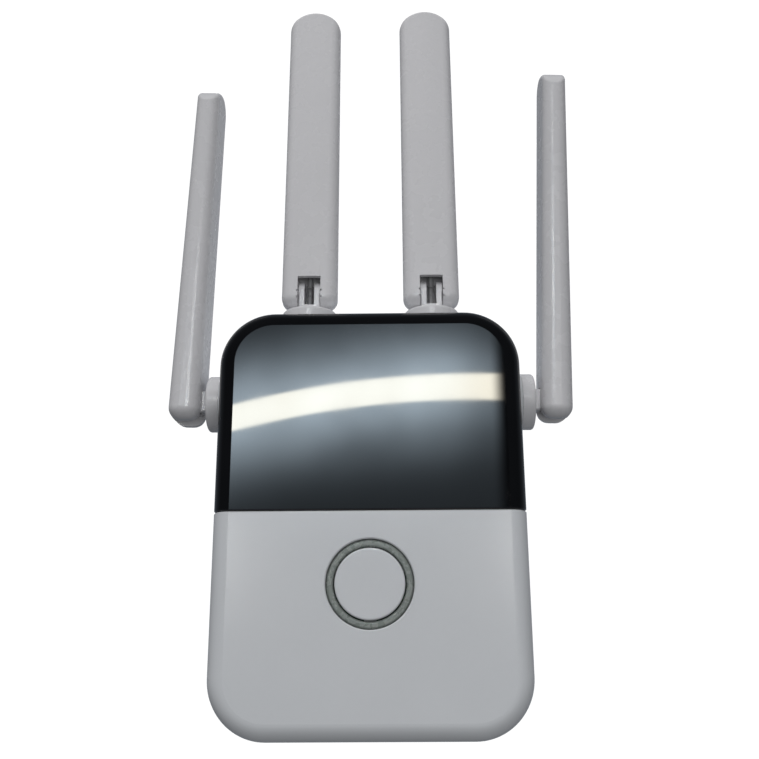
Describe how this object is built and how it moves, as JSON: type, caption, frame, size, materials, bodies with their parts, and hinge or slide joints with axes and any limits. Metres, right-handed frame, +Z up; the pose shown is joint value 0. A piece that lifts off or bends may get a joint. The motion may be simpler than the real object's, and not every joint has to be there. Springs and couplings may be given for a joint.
{
  "type": "wireless range extender",
  "caption": "Wall-plug wireless range extender with a glossy upper front, a lit ring button, fold-down antennas on swivels, a network socket and a round-pin mains plug.",
  "frame": {"origin": "middle of the plug nose's end face, between the round pins", "axes": "+X to the right seen from the front, +Y into the wall socket, +Z up"},
  "size_m": [0.1078, 0.064, 0.2079],
  "materials": {
    "black_gloss": "polished",
    "white_plastic": "fine matt",
    "shell_plastic": "fine matt",
    "antenna_plastic": "fine matt",
    "light_guide": "translucent",
    "button_plastic": "fine matt",
    "dark_plastic": "matt",
    "switch_metal": "stamped",
    "lamp": "clear",
    "board_laminate": "solder mask",
    "screw_steel": "zinc plated",
    "tin_plate": "tinned",
    "aluminium": "extruded",
    "chip_resin": "matt",
    "brass_gold": "plated",
    "ferrite": "sintered",
    "winding_tape": "taped",
    "capacitor_can": "sleeved",
    "pin_plating": "nickel plated",
    "sleeve_plastic": "moulded",
    "nose_plastic": "fine matt",
    "label_film": "blank film",
    "spring_steel": "spring temper",
    "cable_jacket": "extruded",
    "fuse_body": "moulded"
  },
  "bodies": {
    "case": {"upper_front_panel": "black_gloss", "lower_front_cover": "white_plastic", "rear_shell": "shell_plastic", "light_ring": "light_guide", "tact_switch": "switch_metal", "ring_leds": "lamp", "main_board": "board_laminate", "board_screws": "screw_steel", "rf_shield": "tin_plate", "heatsink": "aluminium", "board_chips": "chip_resin", "rf_connectors": "brass_gold", "lan_jack": "dark_plastic", "lan_contacts": "brass_gold", "reset_switch": "dark_plastic", "power_board": "board_laminate", "transformer_core": "ferrite", "transformer_winding": "winding_tape", "bulk_capacitors": "capacitor_can", "output_capacitors": "capacitor_can", "fuse": "fuse_body", "dc_header": "dark_plastic", "plug_nose": "nose_plastic", "plug_pin_left": "pin_plating", "plug_pin_right": "pin_plating", "plug_pin_sleeves": "sleeve_plastic", "case_screws": "screw_steel", "rating_label": "label_film", "top_left_board_lead": "cable_jacket", "top_right_board_lead": "cable_jacket", "side_left_board_lead": "cable_jacket", "side_right_board_lead": "cable_jacket"},
    "button": {"wps_button": "button_plastic", "tact_plunger": "dark_plastic"},
    "reset": {"reset_plunger": "dark_plastic"},
    "top_left_swivel": {"top_left_swivel_knuckle": "antenna_plastic", "top_left_swivel_clip": "spring_steel", "top_left_swivel_lead": "cable_jacket"},
    "top_left_blade": {"top_left_antenna_shell": "antenna_plastic", "top_left_antenna_element": "board_laminate", "top_left_antenna_lead": "cable_jacket"},
    "top_right_swivel": {"top_right_swivel_knuckle": "antenna_plastic", "top_right_swivel_clip": "spring_steel", "top_right_swivel_lead": "cable_jacket"},
    "top_right_blade": {"top_right_antenna_shell": "antenna_plastic", "top_right_antenna_element": "board_laminate", "top_right_antenna_lead": "cable_jacket"},
    "side_left_swivel": {"side_left_swivel_knuckle": "antenna_plastic", "side_left_swivel_clip": "spring_steel", "side_left_swivel_lead": "cable_jacket"},
    "side_left_blade": {"side_left_antenna_shell": "antenna_plastic", "side_left_antenna_element": "board_laminate", "side_left_antenna_lead": "cable_jacket"},
    "side_right_swivel": {"side_right_swivel_knuckle": "antenna_plastic", "side_right_swivel_clip": "spring_steel", "side_right_swivel_lead": "cable_jacket"},
    "side_right_blade": {"side_right_antenna_shell": "antenna_plastic", "side_right_antenna_element": "board_laminate", "side_right_antenna_lead": "cable_jacket"}
  },
  "joints": [
    {"name": "button_press", "type": "slide", "parent": "case", "child": "button", "axis": [0, 1, 0], "range_m": [0, 0.0005], "stiffness_N_per_m": 3000, "springref_m": -0.0002},
    {"name": "reset_press", "type": "slide", "parent": "case", "child": "reset", "axis": [0, 0, 1], "range_m": [0, 0.0003], "stiffness_N_per_m": 3000, "springref_m": -0.0001},
    {"name": "top_left_turn", "type": "hinge", "parent": "case", "child": "top_left_swivel", "pos_m": [-0.0166, -0.0278, 0.0631], "axis": [0, 0, -1], "range_deg": [-90, 90]},
    {"name": "top_left_fold", "type": "hinge", "parent": "top_left_swivel", "child": "top_left_blade", "pos_m": [-0.0166, -0.0278, 0.07265], "axis": [1, 0, 0], "range_deg": [-1, 94]},
    {"name": "top_right_turn", "type": "hinge", "parent": "case", "child": "top_right_swivel", "pos_m": [0.0166, -0.0278, 0.0631], "axis": [0, 0, 1], "range_deg": [-90, 90]},
    {"name": "top_right_fold", "type": "hinge", "parent": "top_right_swivel", "child": "top_right_blade", "pos_m": [0.0166, -0.0278, 0.07265], "axis": [1, 0, 0], "range_deg": [-1, 94]},
    {"name": "side_left_turn", "type": "hinge", "parent": "case", "child": "side_left_swivel", "pos_m": [-0.0394, -0.0278, 0.0413], "axis": [1, 0, 0], "range_deg": [-90, 90]},
    {"name": "side_left_fold", "type": "hinge", "parent": "side_left_swivel", "child": "side_left_blade", "pos_m": [-0.04895, -0.0278, 0.0413], "axis": [0, 1, 0], "range_deg": [-96.5, 0.5]},
    {"name": "side_right_turn", "type": "hinge", "parent": "case", "child": "side_right_swivel", "pos_m": [0.0394, -0.0278, 0.0413], "axis": [1, 0, 0], "range_deg": [-95, 85]},
    {"name": "side_right_fold", "type": "hinge", "parent": "side_right_swivel", "child": "side_right_blade", "pos_m": [0.04895, -0.0278, 0.0413], "axis": [0, -0.9962, -0.0872], "range_deg": [-93.2, 3.8]}
  ]
}
